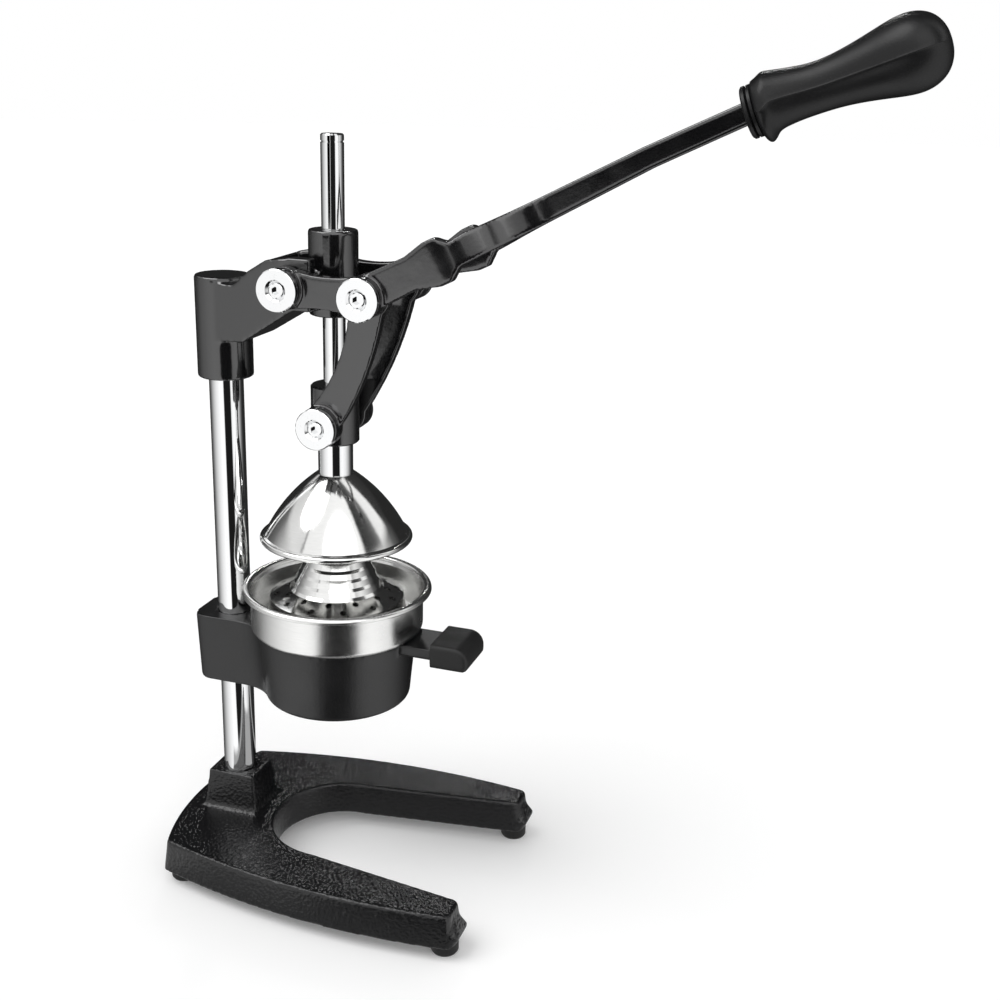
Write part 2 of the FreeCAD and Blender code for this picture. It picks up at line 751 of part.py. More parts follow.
def head_casting():
    body = new_body("head")
    side = new_sketch(body, "YZ_Plane")
    outline(side, [
        (S.neck_front, S.neck_toe_z),
        (S.neck_toe_y, S.neck_toe_z),
        (S.neck_heel_y, S.neck_heel_z),
        (S.column_y, S.neck_under_z),
        (S.column_y, S.head_top_z - S.neck_step),
        (S.column_y - S.head_radius, S.head_top_z - S.neck_step),
        (S.neck_dip_y, S.neck_dip_z),
        (S.neck_brow_y, S.neck_brow_z),
        (S.hinge_y, S.neck_crown_z),
        (S.neck_front, S.neck_crown_z),
    ])
    pad(body, side, S.neck_half * 2, symmetric=True)
    cheeks = new_sketch(body, "XY_Plane", S.head_top_z)
    margin = S.neck_half + 5
    for turn in (1, -1):
        corners = [
            (S.neck_half * turn, S.hinge_y + 6),
            (margin * turn, S.hinge_y + 6),
            (margin * turn, S.column_y + 5),
            (S.neck_end_half * turn, S.column_y + 5),
            (S.neck_end_half * turn, S.column_y),
        ]
        outline(cheeks, corners if turn > 0 else corners[::-1])
    pocket(body, cheeks)
    top_pocket = new_sketch(body, "XY_Plane", S.neck_crown_z)
    outline(top_pocket, box(-S.neck_pocket_half, S.neck_front - 1, S.neck_pocket_half, S.neck_pocket_rear))
    pocket(body, top_pocket, S.neck_pocket_depth)
    sleeve = new_sketch(body, "XY_Plane", S.head_under_z)
    circle(sleeve, 0, S.column_y, S.head_radius)
    pad(body, sleeve, S.head_top_z - S.head_under_z)
    guide = new_sketch(body, "XY_Plane", S.guide_under_z)
    circle(guide, 0, 0, S.guide_radius)
    pad(body, guide, S.guide_top_z - S.guide_under_z)
    dress(body, "Fillet", S.head_edge_round, lambda edge: level_at(edge, S.head_top_z.number)
          or level_at(edge, S.guide_top_z.number) or level_at(edge, S.head_under_z.number)
          or level_at(edge, S.guide_under_z.number))
    bore = new_sketch(body, "XY_Plane", S.head_under_z)
    circle(bore, 0, S.column_y, S.column_radius + S.column_fit)
    pocket(body, bore, S.column_top_z - S.head_under_z + 0.2, reverse=True)
    rod_bore = new_sketch(body, "XY_Plane", S.guide_under_z)
    circle(rod_bore, 0, 0, S.rod_radius + S.rod_fit)
    pocket(body, rod_bore)
    pin_bore = new_sketch(body, "YZ_Plane")
    circle(pin_bore, S.hinge_y, S.hinge_z, S.pin_radius + S.pin_fit)
    pocket(body, pin_bore)
    screw_bore(body, S.head_screw_z, S.column_y + S.head_radius + 1)
    return keep(body)


def plunger():
    top = S.rod_top_z
    groove = top - S.rod_groove_drop
    core = S.rod_radius - S.rod_groove_depth
    rod = turned("plunger_rod", [
        (S.dome_screw_radius, S.dome_top_z + 2),
        (S.rod_radius, S.dome_top_z + 2),
        (S.rod_radius, groove - S.rod_groove_width),
        (core, groove - S.rod_groove_width),
        (core, groove),
        (S.rod_radius, groove),
        (S.rod_radius, top - 0.8),
        (S.rod_radius - 0.8, top),
        (0, top),
        (0, S.dome_top_z + S.dome_screw_length + 1),
        (S.dome_screw_radius, S.dome_top_z + S.dome_screw_length + 1),
    ])
    drill = new_sketch(rod, "YZ_Plane")
    circle(drill, 0, S.crosspin_z, S.pin_radius + S.pin_fit)
    pocket(rod, drill)
    keep(rod)

    crosshead = turned("crosshead", [
        (S.rod_radius + S.pin_fit, S.crosshead_under_z),
        (S.crosshead_radius - 1, S.crosshead_under_z),
        (S.crosshead_radius, S.crosshead_under_z + 1),
        (S.crosshead_radius, S.crosshead_top_z - 1),
        (S.crosshead_radius - 1, S.crosshead_top_z),
        (S.rod_radius + S.pin_fit, S.crosshead_top_z),
    ])
    drill = new_sketch(crosshead, "YZ_Plane")
    circle(drill, 0, S.crosspin_z, S.pin_radius + S.pin_fit)
    pocket(crosshead, drill)
    keep(crosshead)

    keep(turned("spacer_sleeve", [
        (S.rod_radius + S.pin_fit, S.dome_top_z + 2),
        (S.dome_screw_radius + 0.2, S.dome_top_z + 2),
        (S.dome_screw_radius + 0.2, S.dome_top_z),
        (S.sleeve_radius, S.dome_top_z),
        (S.sleeve_radius, S.crosshead_under_z),
        (S.rod_radius + S.pin_fit, S.crosshead_under_z),
    ]))


def dome():
    roll = S.dome_rim_roll
    edge = S.dome_rim_radius - roll * 2
    under = S.dome_rim_z - roll
    sheet_radius = S.dome_radius - S.sheet
    keep(turned("dome", [
        (S.dome_screw_radius + 0.2, S.dome_top_z - S.sheet * 1.5),
        (S.dome_shoulder - S.sheet, S.dome_top_z - S.sheet * 1.5),
        (edge - S.sheet * 0.4, S.dome_rim_z + roll * 0.6),
        (edge, S.dome_rim_z),
        (S.dome_rim_radius - roll, under),
        (S.dome_rim_radius, S.dome_rim_z),
        (S.dome_rim_radius - roll, S.dome_rim_z + roll),
        (edge + S.sheet * 0.6, S.dome_rim_z + roll * 1.4),
        (S.dome_shoulder, S.dome_top_z),
        (S.dome_screw_radius + 0.2, S.dome_top_z),
    ], {1: -sheet_radius, 3: roll, 4: roll, 5: roll, 7: S.dome_radius}))
    head = S.dome_top_z - S.sheet * 1.5
    screw = turned("dome_screw", [
        (0, head - S.dome_screw_head_height),
        (S.dome_screw_head - 1, head - S.dome_screw_head_height),
        (S.dome_screw_head, head - S.dome_screw_head_height + 1),
        (S.dome_screw_head, head),
        (S.dome_screw_radius, head),
        (S.dome_screw_radius, S.dome_top_z + S.dome_screw_length),
        (0, S.dome_top_z + S.dome_screw_length),
    ])
    recess = new_sketch(screw, "XY_Plane", head - S.dome_screw_head_height)
    outline(recess, [along(60 * step, S.key_radius) for step in range(6)])
    pocket(screw, recess, S.key_depth, reverse=True)
    keep(screw)


def lever_outline(sketch):
    """The lever from the side: web, arm, knuckle, bar and the tang inside the grip."""
    span = math.hypot(S.stud_reach.number, S.stud_drop.number)
    run = Size(span, f"sqrt({S.stud_reach.text} ^ 2 + {S.stud_drop.text} ^ 2)")
    ahead = (S.stud_reach / run, -S.stud_drop / run)

    def web_point(distance, offset):
        return (-(ahead[0] * distance - ahead[1] * offset), ahead[1] * distance + ahead[0] * offset)

    reach = S.eye_radius * 0.9
    near = S.eye_radius * 0.55
    far = run - near
    tang_top = S.bar_neck_top - S.tang_droop - S.tang_slim
    tang_under = S.bar_neck_under - S.tang_droop + S.tang_slim
    knuckle_in = S.knuckle_reach - S.knuckle_half - S.knuckle_run
    knuckle_out = S.knuckle_reach + S.knuckle_half
    outline(sketch, [
        web_point(near, reach),
        web_point(near, -reach),
        web_point(far, -reach),
        (-S.stud_reach - near, S.arm_under - 1),
        (-knuckle_in, S.arm_under),
        (-(S.knuckle_reach - S.knuckle_half * 0.6), S.knuckle_under),
        (-(S.knuckle_reach + S.knuckle_half * 0.4), S.knuckle_under),
        (-S.bar_root_low, S.bar_root_under),
        (-S.bar_knee, S.bar_knee_under),
        (-S.bar_neck, S.bar_neck_under),
        (-S.tang_end, tang_under),
        (-S.tang_end, tang_top),
        (-S.bar_neck, S.bar_neck_top),
        (-S.bar_knee, S.bar_knee_top),
        (-S.bar_root, S.bar_root_top),
        (-(knuckle_out + 3), S.bar_root_top - 1.5),
        (-(S.knuckle_reach + S.knuckle_half * 0.4), S.knuckle_top),
        (-(S.knuckle_reach - S.knuckle_half * 0.6), S.knuckle_top),
        (-knuckle_in, S.arm_top),
        (-S.stud_reach - near, S.arm_top + 0.5),
        web_point(far, reach),
    ], {1: S.waist_radius, 20: S.waist_radius})


def lever():
    """The forked lever: two arms from the hinge, drawn together into one bar."""
    body = new_body("lever")
    side = new_sketch(body, "YZ_Plane")
    lever_outline(side)
    width = S.arm_outer * 2
    pad(body, side, width, symmetric=True)
    for across, up in ((0, 0), (-S.stud_reach, -S.stud_drop)):
        eye = new_sketch(body, "YZ_Plane")
        circle(eye, across, up, S.eye_radius)
        pad(body, eye, width, symmetric=True)
    cuts = new_sketch(body, "XY_Plane")
    margin = S.arm_outer + 5
    beyond = S.tang_end + 10
    for turn in (1, -1):
        corners = [
            (S.arm_outer * turn, -S.arm_straight),
            (S.fork_middle_half * turn, -S.fork_middle),
            (S.bar_half * turn, -S.fork_end),
            (S.bar_half * turn, -beyond),
            (margin * turn, -beyond),
            (margin * turn, -S.arm_straight),
        ]
        outline(cuts, corners, {0: -S.fork_radius * turn, 1: S.fork_radius * turn})
    behind = S.eye_radius + 10
    outline(cuts, [
        (-S.arm_inner, behind),
        (-S.arm_inner, -S.arm_straight),
        (-S.slot_middle_half, -S.fork_middle),
        (0, -S.slot_end),
        (S.slot_middle_half, -S.fork_middle),
        (S.arm_inner, -S.arm_straight),
        (S.arm_inner, behind),
    ], {1: S.fork_radius, 4: S.fork_radius})
    pocket(body, cuts)
    for turn in (1, -1):
        for across, up in ((0, 0), (-S.stud_reach, -S.stud_drop)):
            boss = new_sketch(body, "YZ_Plane", S.arm_outer * turn)
            circle(boss, across, up, S.eye_radius)
            pad(body, boss, S.boss_height, reverse=turn < 0)
    bores = new_sketch(body, "YZ_Plane")
    circle(bores, 0, 0, S.pin_radius + S.pin_fit)
    circle(bores, -S.stud_reach, -S.stud_drop, S.pin_radius + S.pin_fit)
    pocket(body, bores)
    move(body, 0, S.hinge_y, S.hinge_z, (1, 0, 0), -S.lever_tilt)
    return keep(body)


def lever_point(reach, drop):
    """A point of the lever's own frame, in the frame of the press."""
    out_y, out_z = along(S.lever_tilt, reach)
    up_z, up_y = along(S.lever_tilt, drop)
    return S.hinge_y - out_y + up_y, S.hinge_z + out_z + up_z


def connecting_rods():
    """Two bowed rods from the lever's studs down to the crosshead."""
    stud_y, stud_z = lever_point(S.stud_reach, -S.stud_drop)
    rise = stud_z - S.crosspin_z
    span = math.hypot(stud_y.number, rise.number)
    length = Size(span, f"sqrt({stud_y.text} ^ 2 + {rise.text} ^ 2)")
    out = (stud_y / length, rise / length)

    def rod_point(distance, offset):
        return (out[0] * distance + out[1] * offset, S.crosspin_z + out[1] * distance - out[0] * offset)

    body = new_body("rod_left")
    side = new_sketch(body, "YZ_Plane", -S.link_outer_high)
    start = S.link_eye * 0.15
    outline(side, [
        rod_point(start, -S.link_half_front),
        rod_point(start, S.link_half_back),
        rod_point(length - start, S.link_half_back),
        rod_point(length - start, -S.link_half_front),
    ], {1: -S.link_bow_inner, 3: S.link_bow})
    thickness = S.link_outer_high - S.link_inner_low
    pad(body, side, thickness)
    for distance in (0, length):
        eye = new_sketch(body, "YZ_Plane", -S.link_outer_high)
        circle(eye, *rod_point(distance, 0), S.link_eye)
        pad(body, eye, thickness)
    faces = new_sketch(body, "XZ_Plane", 0)
    lowest = S.crosspin_z - S.link_eye - 5
    highest = stud_z + S.link_eye + 5
    bend_low = S.crosspin_z + S.link_eye
    bend_high = stud_z - S.link_eye
    outline(faces, [
        (-S.link_outer_high - 5, lowest),
        (-S.link_outer_low, lowest),
        (-S.link_outer_low, bend_low),
        (-S.link_outer_high, bend_high),
        (-S.link_outer_high - 5, bend_high),
    ])
    outline(faces, [
        (-S.link_inner_low, bend_low),
        (-S.link_inner_low + 5, bend_low),
        (-S.link_inner_low + 5, highest),
        (-S.link_inner_high, highest),
        (-S.link_inner_high, bend_high),
    ])
    pocket(body, faces)
    boss = new_sketch(body, "YZ_Plane", -S.link_outer_low)
    circle(boss, 0, S.crosspin_z, S.link_eye)
    pad(body, boss, S.link_cap_boss, reverse=True)
    bores = new_sketch(body, "YZ_Plane")
    circle(bores, 0, S.crosspin_z, S.pin_radius + S.pin_fit)
    pocket(body, bores)
    upper = new_sketch(body, "YZ_Plane")
    circle(upper, stud_y, stud_z, S.pin_radius + S.pin_fit)
    pocket(body, upper)
    keep(body)
    keep(mirror(body, "rod_right"))


def grip():
    """The moulded hand grip and the collar in front of it, both turned about the bar's end."""
    tilt = S.lever_tilt - S.grip_droop
    centre = (S.bar_neck_top + S.bar_neck_under) / 2
    start_y, start_z = lever_point(S.collar_start, centre)
    collar_mid = S.collar_length / 2
    bore = S.collar_bore
    collar = turned("grip_collar", [
        (bore, 0),
        (S.collar_radius - 0.8, 0),
        (S.collar_radius, 0.8),
        (S.collar_radius, collar_mid - S.collar_groove / 2),
        (S.collar_radius - S.collar_groove_depth, collar_mid),
        (S.collar_radius, collar_mid + S.collar_groove / 2),
        (S.collar_radius, S.collar_length - 0.8),
        (S.collar_radius - 0.8, S.collar_length),
        (bore, S.collar_length),
    ])
    move(collar, 0, start_y, start_z, (1, 0, 0), Size(90.0, "90") - tilt)
    keep(collar)
    body = turned("grip", [
        (0, 0),
        (S.grip_start_radius, 0),
        (S.grip_lip_radius, S.grip_lip_at),
        (S.grip_neck_radius, S.grip_neck_at),
        (S.grip_swell_radius, S.grip_swell_at),
        (S.grip_bulb_radius, S.grip_bulb_at),
        (0, S.grip_bulb_at + S.grip_bulb_radius),
    ], {2: -S.grip_flank_radius, 3: -S.grip_flank_radius, 4: S.grip_swell_round, 5: S.grip_bulb_radius})
    bore_depth = S.tang_end - S.collar_start - S.collar_length + 2
    hole = new_sketch(body, "XY_Plane")
    half = S.bar_half + S.grip_bore_fit
    rise = (S.bar_neck_top - S.bar_neck_under) / 2 + S.grip_bore_fit
    outline(hole, box(-half, -rise, half, rise))
    pocket(body, hole, bore_depth, reverse=True)
    reach_y, reach_z = along(tilt, S.collar_length)
    move(body, 0, start_y - reach_y, start_z + reach_z, (1, 0, 0), Size(90.0, "90") - tilt)
    keep(body)


def pin(label, start, end, back, up):
    """A plain pin along X, drilled at its ends for the cap screws."""
    body = new_body(label)
    sketch = new_sketch(body, "YZ_Plane", start)
    circle(sketch, 0, 0, S.pin_radius)
    pad(body, sketch, end - start)
    return_hole = S.cap_screw_length - S.cap_thickness + 1
    drill = new_sketch(body, "YZ_Plane", end)
    circle(drill, 0, 0, S.cap_screw_radius + S.thread_gap)
    pocket(body, drill, return_hole)
    move(body, 0, back, up)
    return body


def double_pin(label, reach, back, up):
    """A pin right through, with a cap screwed on at each end."""
    body = pin(label, -reach, reach, back, up)
    drill = new_sketch(body, "YZ_Plane", -reach)
    circle(drill, 0, 0, S.cap_screw_radius + S.thread_gap)
    pocket(body, drill, S.cap_screw_length - S.cap_thickness + 1, reverse=True)
    return keep(body)


def cap_pair(label, seat, back, up):
    """Two screwed caps that hold a pivot together, facing out at each side."""
    head = S.cap_thickness - S.cap_screw_sink
    head_seat = head - S.cap_screw_head_height
    body = turned(label + "_one", [
        (S.cap_screw_radius + S.cap_screw_gap, 0),
        (S.cap_radius, 0),
        (S.cap_radius, S.cap_thickness - S.cap_edge),
        (S.cap_radius - S.cap_edge, S.cap_thickness),
        (S.cap_mouth, S.cap_thickness),
        (S.cap_screw_head + S.cap_screw_gap, S.cap_thickness - S.cap_mouth_depth),
        (S.cap_screw_head + S.cap_screw_gap, head_seat),
        (S.cap_screw_radius + S.cap_screw_gap, head_seat),
    ])
    move(body, -seat, back, up, (0, 1, 0), -90)
    group(label, [body, mirror(body, label + "_other")])
    bottom = S.cap_thickness - S.cap_screw_length
    screw = turned(label + "_screw_one", [
        (0, bottom),
        (S.cap_screw_radius, bottom),
        (S.cap_screw_radius, head_seat),
        (S.cap_screw_head, head_seat),
        (S.cap_screw_head, head - S.cap_edge),
        (S.cap_screw_head - S.cap_edge, head),
        (0, head),
    ])
    key_recess(screw, head, S.key_radius, S.key_depth)
    move(screw, -seat, back, up, (0, 1, 0), -90)
    group(label.replace("caps", "cap_screws"), [screw, mirror(screw, label + "_screw_other")])


def pivots():
    lever_seat = S.arm_outer + S.boss_height
    double_pin("hinge_axle", lever_seat, S.hinge_y, S.hinge_z)
    cap_pair("hinge_caps", lever_seat, S.hinge_y, S.hinge_z)
    stud_y, stud_z = lever_point(S.stud_reach, -S.stud_drop)
    stud = pin("stud_right", S.arm_inner, lever_seat, stud_y, stud_z)
    keep(stud)
    keep(mirror(stud, "stud_left"))
    cap_pair("stud_caps", lever_seat, stud_y, stud_z)
    rod_seat = S.link_outer_low + S.link_cap_boss + S.side_gap
    double_pin("crosshead_pin", rod_seat, Size(0.0, "0"), S.crosspin_z)
    cap_pair("crosshead_caps", rod_seat, Size(0.0, "0"), S.crosspin_z)


def check_and_write():
    """Stop on any failed feature or bad solid, then write each piece to its own file."""
    doc.recompute()
    for item in doc.Objects:
        if "Invalid" in item.State or "Error" in item.State:
            raise RuntimeError(f"{item.Name} failed: {item.State}")
    os.makedirs("parts", exist_ok=True)
    for item in NODES:
        if item.Shape.isNull() or not item.Shape.isValid() or item.Shape.Volume <= 0:
            raise RuntimeError(f"{item.Label} has no valid solid")
        item.Shape.exportStep(f"parts/{item.Label}.step")
        print(f"{item.Label}: {len(item.Shape.Solids)} solid(s), {item.Shape.Volume / 1000:.1f} cm3")


base_casting()
feet()
column()
set_screw("base_set_screw", S.base_screw_z, S.column_y + S.socket_depth_half + 1)
bowl_holder()
set_screw("holder_set_screw", S.holder_screw_z, S.clamp_rear - 0.5)
holder_tip()
funnel()
bowl()
strainer()
head_casting()
set_screw("head_set_screw", S.head_screw_z, S.column_y + S.head_radius - 0.5)
plunger()
dome()
lever()
connecting_rods()
grip()
pivots()
check_and_write()
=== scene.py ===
import json
import math

import bmesh
import bpy
from mathutils import Matrix, Vector

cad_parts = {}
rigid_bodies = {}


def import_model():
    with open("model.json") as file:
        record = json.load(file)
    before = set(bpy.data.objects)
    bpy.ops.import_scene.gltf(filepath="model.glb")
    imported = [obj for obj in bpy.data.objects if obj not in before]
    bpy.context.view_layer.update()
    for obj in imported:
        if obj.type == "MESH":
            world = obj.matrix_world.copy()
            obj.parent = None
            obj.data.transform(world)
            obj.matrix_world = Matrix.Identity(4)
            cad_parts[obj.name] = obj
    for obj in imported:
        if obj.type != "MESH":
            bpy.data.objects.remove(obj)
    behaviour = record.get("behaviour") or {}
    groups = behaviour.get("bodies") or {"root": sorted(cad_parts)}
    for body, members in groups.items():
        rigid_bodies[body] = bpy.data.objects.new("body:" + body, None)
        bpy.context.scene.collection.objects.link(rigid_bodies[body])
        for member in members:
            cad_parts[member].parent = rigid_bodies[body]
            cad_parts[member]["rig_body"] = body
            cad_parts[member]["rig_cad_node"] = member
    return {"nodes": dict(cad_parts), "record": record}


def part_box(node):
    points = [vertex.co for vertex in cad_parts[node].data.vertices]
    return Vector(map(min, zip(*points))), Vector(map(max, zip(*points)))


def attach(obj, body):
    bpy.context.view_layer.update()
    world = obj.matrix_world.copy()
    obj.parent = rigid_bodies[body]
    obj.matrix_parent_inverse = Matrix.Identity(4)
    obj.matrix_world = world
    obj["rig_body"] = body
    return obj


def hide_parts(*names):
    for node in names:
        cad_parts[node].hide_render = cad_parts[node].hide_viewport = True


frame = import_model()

bl_info = {
    "name": "Citrus press",
    "version": (1, 0, 0),
    "blender": (4, 5, 0),
    "location": "View3D > Sidebar > Citrus press",
    "description": "Dresses the lever citrus press: castings, bright steel, grip, rubber and studio",
    "category": "Object",
}

NODES = frame["nodes"]
BODY_OF = {
    node: body
    for body, members in frame["record"]["behaviour"]["bodies"].items()
    for node in members
}
SLOT_OF = {item["node"]: item["material_slot"] for item in frame["record"]["subparts"]}
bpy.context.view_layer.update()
MM = 0.001

# Where the photograph was taken from, and its lens.
CAMERA_PLACE = Vector((-767.4, -356.2, 549.8)) * MM
CAMERA_RIGHT = Vector((0.3038, -0.9527, 0.0))
CAMERA_UP = Vector((0.3009, 0.0959, 0.9487))
CAMERA_ROLL = math.radians(1.636)
CAMERA_LENS = 49.13
CAMERA_SENSOR = 36


# Settings

class CastingSettings(bpy.types.PropertyGroup):
    """How far the moulding sand and the paint have rounded the castings."""

    grain: bpy.props.FloatProperty(
        name="Grain", description="Mesh size of the softened castings",
        default=1.1 * MM, min=0.5 * MM, max=4 * MM, unit="LENGTH")
    softening: bpy.props.IntProperty(
        name="Softening", description="Rounds of smoothing over the edges", default=5, min=0, max=40)
    collar: bpy.props.FloatProperty(
        name="Collar", description="Thickness of the collar in front of the grip",
        default=6 * MM, min=1 * MM, max=20 * MM, unit="LENGTH")


class FinishSettings(bpy.types.PropertyGroup):
    """Colours of the press's finishes."""

    enamel: bpy.props.FloatVectorProperty(
        name="Enamel", description="Black paint on the castings", subtype="COLOR",
        default=(0.006, 0.006, 0.0065), min=0, max=1)
    rubber: bpy.props.FloatVectorProperty(
        name="Rubber", description="Feet and the tang's tip", subtype="COLOR",
        default=(0.009, 0.009, 0.009), min=0, max=1)
    plastic: bpy.props.FloatVectorProperty(
        name="Plastic", description="Hand grip and its collar", subtype="COLOR",
        default=(0.008, 0.008, 0.0085), min=0, max=1)
    chrome: bpy.props.FloatVectorProperty(
        name="Chrome", description="Column, rod, sleeve and caps", subtype="COLOR",
        default=(0.87, 0.875, 0.88), min=0, max=1)
    steel: bpy.props.FloatVectorProperty(
        name="Steel", description="Dome, bowl, strainer, funnel, and the plain screws and pins",
        subtype="COLOR", default=(0.80, 0.80, 0.79), min=0, max=1)


class StudioSettings(bpy.types.PropertyGroup):
    """Light and backdrop."""

    floor_tone: bpy.props.FloatProperty(
        name="Floor", description="Tone of the floor", default=0.95, min=0, max=1)
    ambient: bpy.props.FloatProperty(
        name="Ambient", description="Soft light from all round", default=0.62, min=0, max=2)
    floor_glow: bpy.props.FloatProperty(
        name="Floor glow", description="Lift that makes the open floor white to the camera",
        default=0.1, min=0, max=1)
    boards: bpy.props.FloatProperty(
        name="Boards", description="Strength of the reflector boards", default=1.15, min=0, max=2)
    key: bpy.props.FloatProperty(
        name="Key light", description="Strength of the main lamp", default=1.15, min=0, max=10)


# Shaders

# The paint's cells, the smears and specks of handling, and the lines that turning leaves.
CELL_ROUNDING = 0.6
CELL_SHARE = 0.6
SMEAR_EDGES = [(0.35, 0.0), (0.7, 1.0)]
SPECK_SCALE = 900.0
SPECK_EDGES = [(0.62, 0.0), (0.74, 1.0)]
LINE_DRIFT = 0.002
LINE_EDGES = [(0.3, 0.0), (0.7, 1.0)]
COAT_ROUGHNESS = 0.05
DUST_LIFT = 2.2


class Shader:
    """Lays out nodes in a material, a node group or a world."""

    def __init__(self, tree):
        self.tree = tree
        self.tree.nodes.clear()

    def add(self, kind, settings=None, **sockets):
        node = self.tree.nodes.new(kind)
        for name, value in (settings or {}).items():
            setattr(node, name, value)
        for name, value in sockets.items():
            socket = node.inputs[int(name[1:])] if name[0] == "i" and name[1:].isdigit() else (
                node.inputs[name.replace("_", " ")])
            if isinstance(value, bpy.types.NodeSocket):
                self.tree.links.new(value, socket)
            else:
                socket.default_value = value
        return node

    def math(self, operation, first, second=0.0, third=0.0):
        return self.add("ShaderNodeMath", {"operation": operation}, i0=first, i1=second, i2=third).outputs[0]

    def ramp(self, factor, stops):
        node = self.add("ShaderNodeValToRGB", i0=factor)
        ramp = node.color_ramp
        ramp.interpolation = "LINEAR"
        while len(ramp.elements) < len(stops):
            ramp.elements.new(0.5)
        for element, (place, tone) in zip(ramp.elements, sorted(stops)):
            element.position = place
            element.color = (tone, tone, tone, 1)
        return node.outputs[0]


def new_group(name, inputs, outputs):
    """A shader node group with named number inputs, and its builder."""
    tree = bpy.data.node_groups.new(name, "ShaderNodeTree")
    for label, default in inputs.items():
        socket = tree.interface.new_socket(label, in_out="INPUT", socket_type="NodeSocketFloat")
        socket.default_value = default
    for label in outputs:
        tree.interface.new_socket(label, in_out="OUTPUT", socket_type="NodeSocketFloat")
    shader = Shader(tree)
    return tree, shader, shader.add("NodeGroupInput"), shader.add("NodeGroupOutput")


def paint_skin_group():
    """The pebbled skin of thick paint on a casting, as a height."""
    tree, shader, ins, outs = new_group(
        "Paint skin", {"Pebbles": 260.0, "Waves": 45.0, "Pebble share": 0.5}, ["Height"])
    place = shader.add("ShaderNodeTexCoord").outputs["Object"]
    cells = shader.add(
        "ShaderNodeTexVoronoi", {"feature": "SMOOTH_F1"},
        Vector=place, Scale=ins.outputs["Pebbles"], Smoothness=CELL_ROUNDING)
    rough = shader.add(
        "ShaderNodeTexNoise", Vector=place, Scale=ins.outputs["Pebbles"], Detail=3.0, Roughness=0.55)
    waves = shader.add(
        "ShaderNodeTexNoise", Vector=place, Scale=ins.outputs["Waves"], Detail=2.0, Roughness=0.5)
    pebbles = shader.math("MULTIPLY_ADD", cells.outputs["Distance"], CELL_SHARE, rough.outputs["Fac"])
    share = ins.outputs["Pebble share"]
    low = shader.math("MULTIPLY", waves.outputs["Fac"], shader.math("SUBTRACT", 1.0, share))
    height = shader.math("MULTIPLY_ADD", pebbles, share, low)
    shader.tree.links.new(height, outs.inputs["Height"])
    return tree


def handling_group():
    """Uneven gloss from handling, between two roughness values, with faint dust on it."""
    tree, shader, ins, outs = new_group(
        "Handling", {"Scale": 30.0, "Least": 0.1, "Most": 0.2}, ["Roughness", "Dust"])
    place = shader.add("ShaderNodeTexCoord").outputs["Object"]
    smears = shader.add(
        "ShaderNodeTexNoise",
        Vector=place, Scale=ins.outputs["Scale"], Detail=4.0, Roughness=0.6, Distortion=0.6)
    blend = shader.ramp(smears.outputs["Fac"], SMEAR_EDGES)
    span = shader.math("SUBTRACT", ins.outputs["Most"], ins.outputs["Least"])
    rough = shader.math("MULTIPLY_ADD", blend, span, ins.outputs["Least"])
    specks = shader.add("ShaderNodeTexNoise", Vector=place, Scale=SPECK_SCALE, Detail=1.0)
    dust = shader.ramp(specks.outputs["Fac"], SPECK_EDGES)
    shader.tree.links.new(rough, outs.inputs["Roughness"])
    shader.tree.links.new(shader.math("MULTIPLY", dust, blend), outs.inputs["Dust"])
    return tree


def turning_group():
    """Fine lines that run round the press axis, as turning and polishing leave them."""
    tree, shader, ins, outs = new_group("Turning lines", {"Lines": 900.0}, ["Height", "Tone"])
    place = shader.add("ShaderNodeTexCoord").outputs["Object"]
    axes = shader.add("ShaderNodeSeparateXYZ", Vector=place)
    side, back = axes.outputs["X"], axes.outputs["Y"]
    square = shader.math("MULTIPLY_ADD", side, side, shader.math("MULTIPLY", back, back))
    radius = shader.math("SQRT", square)
    around = shader.math("ARCTAN2", side, back)
    spread = shader.add("ShaderNodeCombineXYZ", X=radius, Y=axes.outputs["Z"],
                        Z=shader.math("MULTIPLY", around, LINE_DRIFT))
    lines = shader.add("ShaderNodeTexNoise", Vector=spread.outputs[0], Scale=ins.outputs["Lines"],
                       Detail=4.0, Roughness=0.7)
    shader.tree.links.new(lines.outputs["Fac"], outs.inputs["Height"])
    shader.tree.links.new(shader.ramp(lines.outputs["Fac"], LINE_EDGES), outs.inputs["Tone"])
    return tree


SHARED = {"Paint skin": paint_skin_group, "Handling": handling_group, "Turning lines": turning_group}


def place_group(shader, name, **inputs):
    """A node of one of the shared groups, which is made when it is first needed."""
    tree = bpy.data.node_groups.get(name) or SHARED[name]()
    return shader.add("ShaderNodeGroup", {"node_tree": tree}, **inputs)


def new_material(name):
    """A material and its shader, or the finished material and None when it is there already."""
    existing = bpy.data.materials.get(name)
    if existing is not None:
        return existing, None
    material = bpy.data.materials.new(name)
    material.use_nodes = True
    return material, Shader(material.node_tree)


def close_material(shader, colour, roughness, height, depth, metallic=0.0, specular=0.5, coat=0.0):
    """Put the surface together: one principled shader with a bump under it."""
    bump = shader.add("ShaderNodeBump", Height=height, Distance=depth, Strength=1.0)
    surface = shader.add("ShaderNodeBsdfPrincipled", Base_Color=colour, Roughness=roughness,
                         Metallic=metallic, Specular_IOR_Level=specular, Coat_Weight=coat,
                         Coat_Roughness=COAT_ROUGHNESS, Normal=bump.outputs[0])
    shader.add("ShaderNodeOutputMaterial", Surface=surface.outputs[0])


def tinted(shader, colour, factor, lift):
    """A colour that a mask lifts towards a paler tone of itself."""
    base = (*colour, 1)
    pale = (*[min(1.0, part * lift) for part in colour], 1)
    return shader.add("ShaderNodeMix", {"data_type": "RGBA"}, i0=factor, i6=base, i7=pale).outputs[2]


